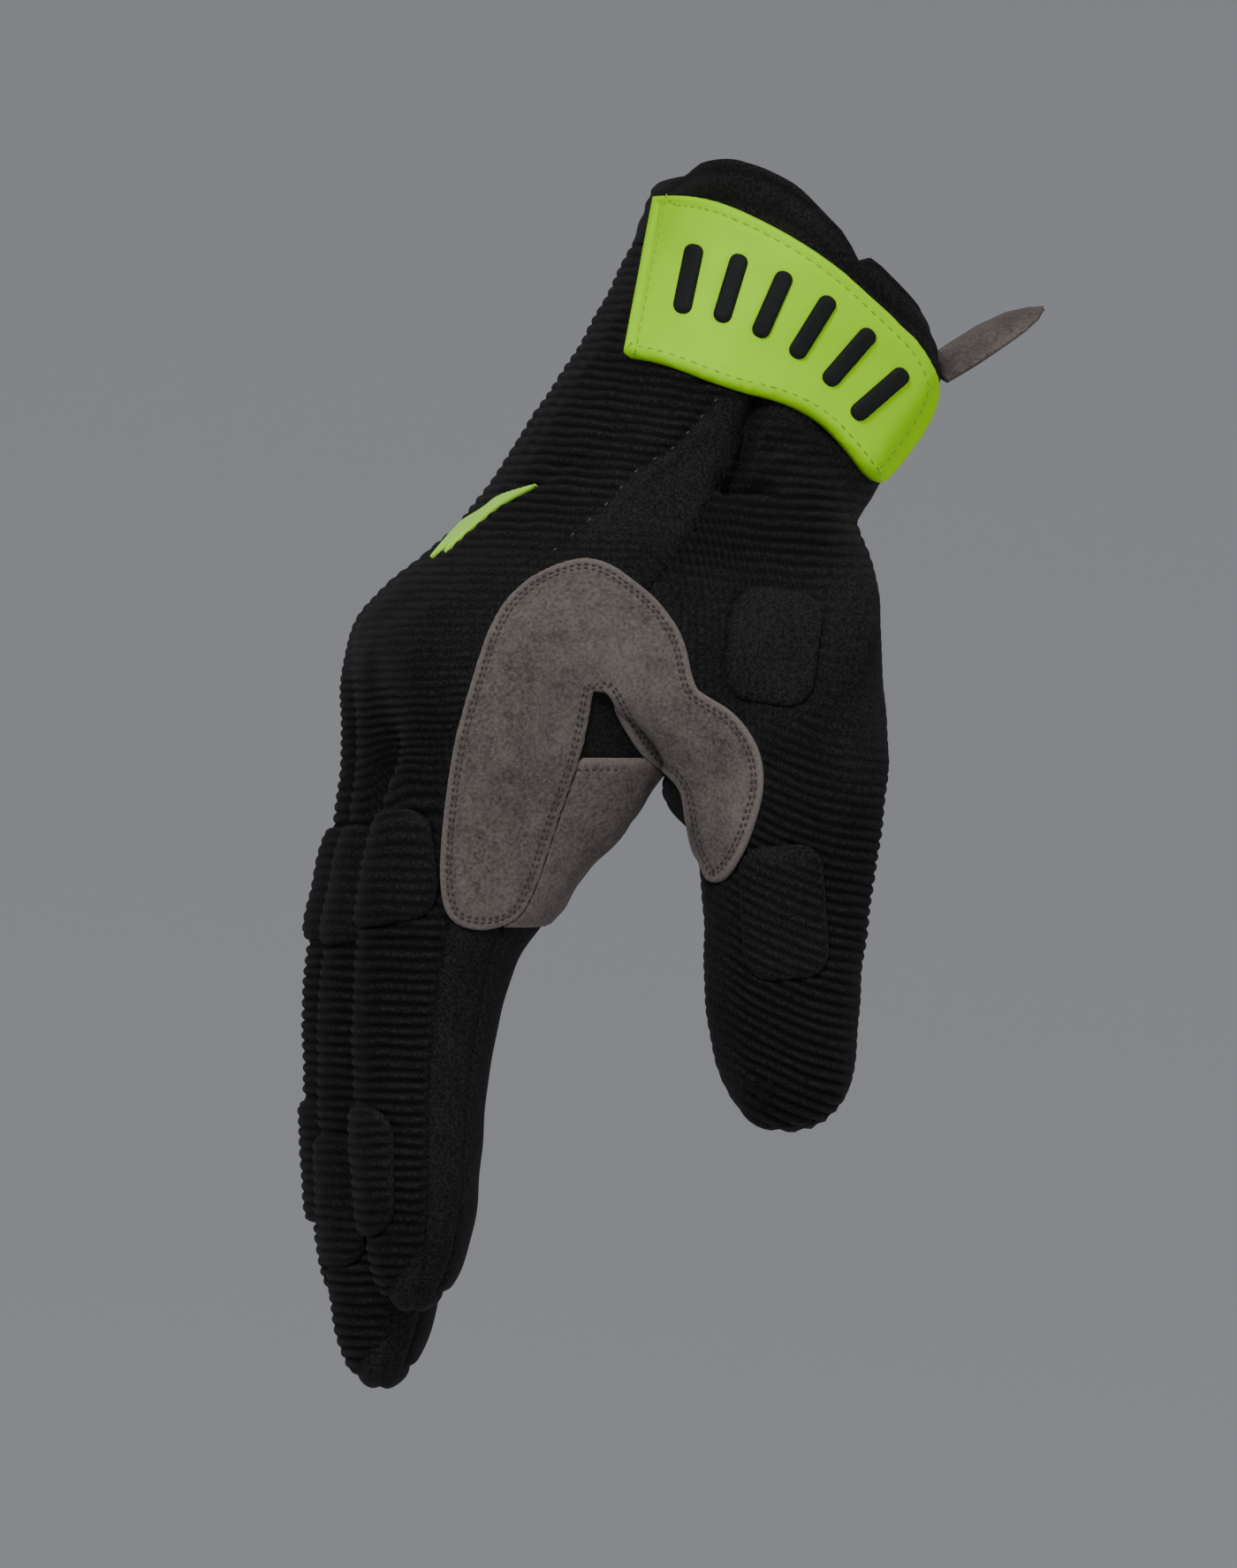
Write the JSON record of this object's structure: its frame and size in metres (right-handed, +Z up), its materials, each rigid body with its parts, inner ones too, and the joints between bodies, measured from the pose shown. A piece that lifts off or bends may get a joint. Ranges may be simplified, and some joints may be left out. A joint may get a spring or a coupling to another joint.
{
  "type": "riding glove",
  "caption": "Full-finger riding glove for the right hand, held in its worn shape, with a ribbed back, raised pads, a suede thumb crotch patch and a broad wrist strap.",
  "frame": {"origin": "centre of the wrist opening, where the hand goes in", "axes": "+Z up, with the fingers hanging down; +X towards the palm side, -X towards the back of the hand; -Y towards the thumb side, which faces the viewer"},
  "size_m": [0.1291, 0.1044, 0.2106],
  "materials": {
    "rib_knit": "matt black ribbed knit",
    "plain_knit": "matt black fine knit",
    "suede": "brushed brown-grey suede",
    "lime_rubber": "smooth satin lime rubber",
    "black_rubber": "satin black rubber",
    "lime_tape": "matt lime tape"
  },
  "bodies": {
    "root": {"back_accent": "lime_tape", "crotch_patch": "suede", "cuff": "plain_knit", "hand_back": "rib_knit", "index_back": "rib_knit", "index_band": "plain_knit", "index_front": "plain_knit", "index_knuckle_pad": "plain_knit", "index_pad": "plain_knit", "little_back": "rib_knit", "little_band": "plain_knit", "little_front": "plain_knit", "middle_back": "rib_knit", "middle_band": "plain_knit", "middle_front": "plain_knit", "middle_knuckle_pad": "plain_knit", "middle_pad": "plain_knit", "palm": "plain_knit", "palm_patch": "suede", "pull_tab": "suede", "ring_back": "rib_knit", "ring_band": "plain_knit", "ring_front": "plain_knit", "ring_knuckle_pad": "plain_knit", "ring_pad": "plain_knit", "strap": "lime_rubber", "strap_grip_1": "black_rubber", "strap_grip_2": "black_rubber", "strap_grip_3": "black_rubber", "strap_grip_4": "black_rubber", "strap_grip_5": "black_rubber", "strap_grip_6": "black_rubber", "thumb_back": "rib_knit", "thumb_base_pad": "plain_knit", "thumb_front": "plain_knit", "thumb_pad": "plain_knit"}
  },
  "joints": []
}
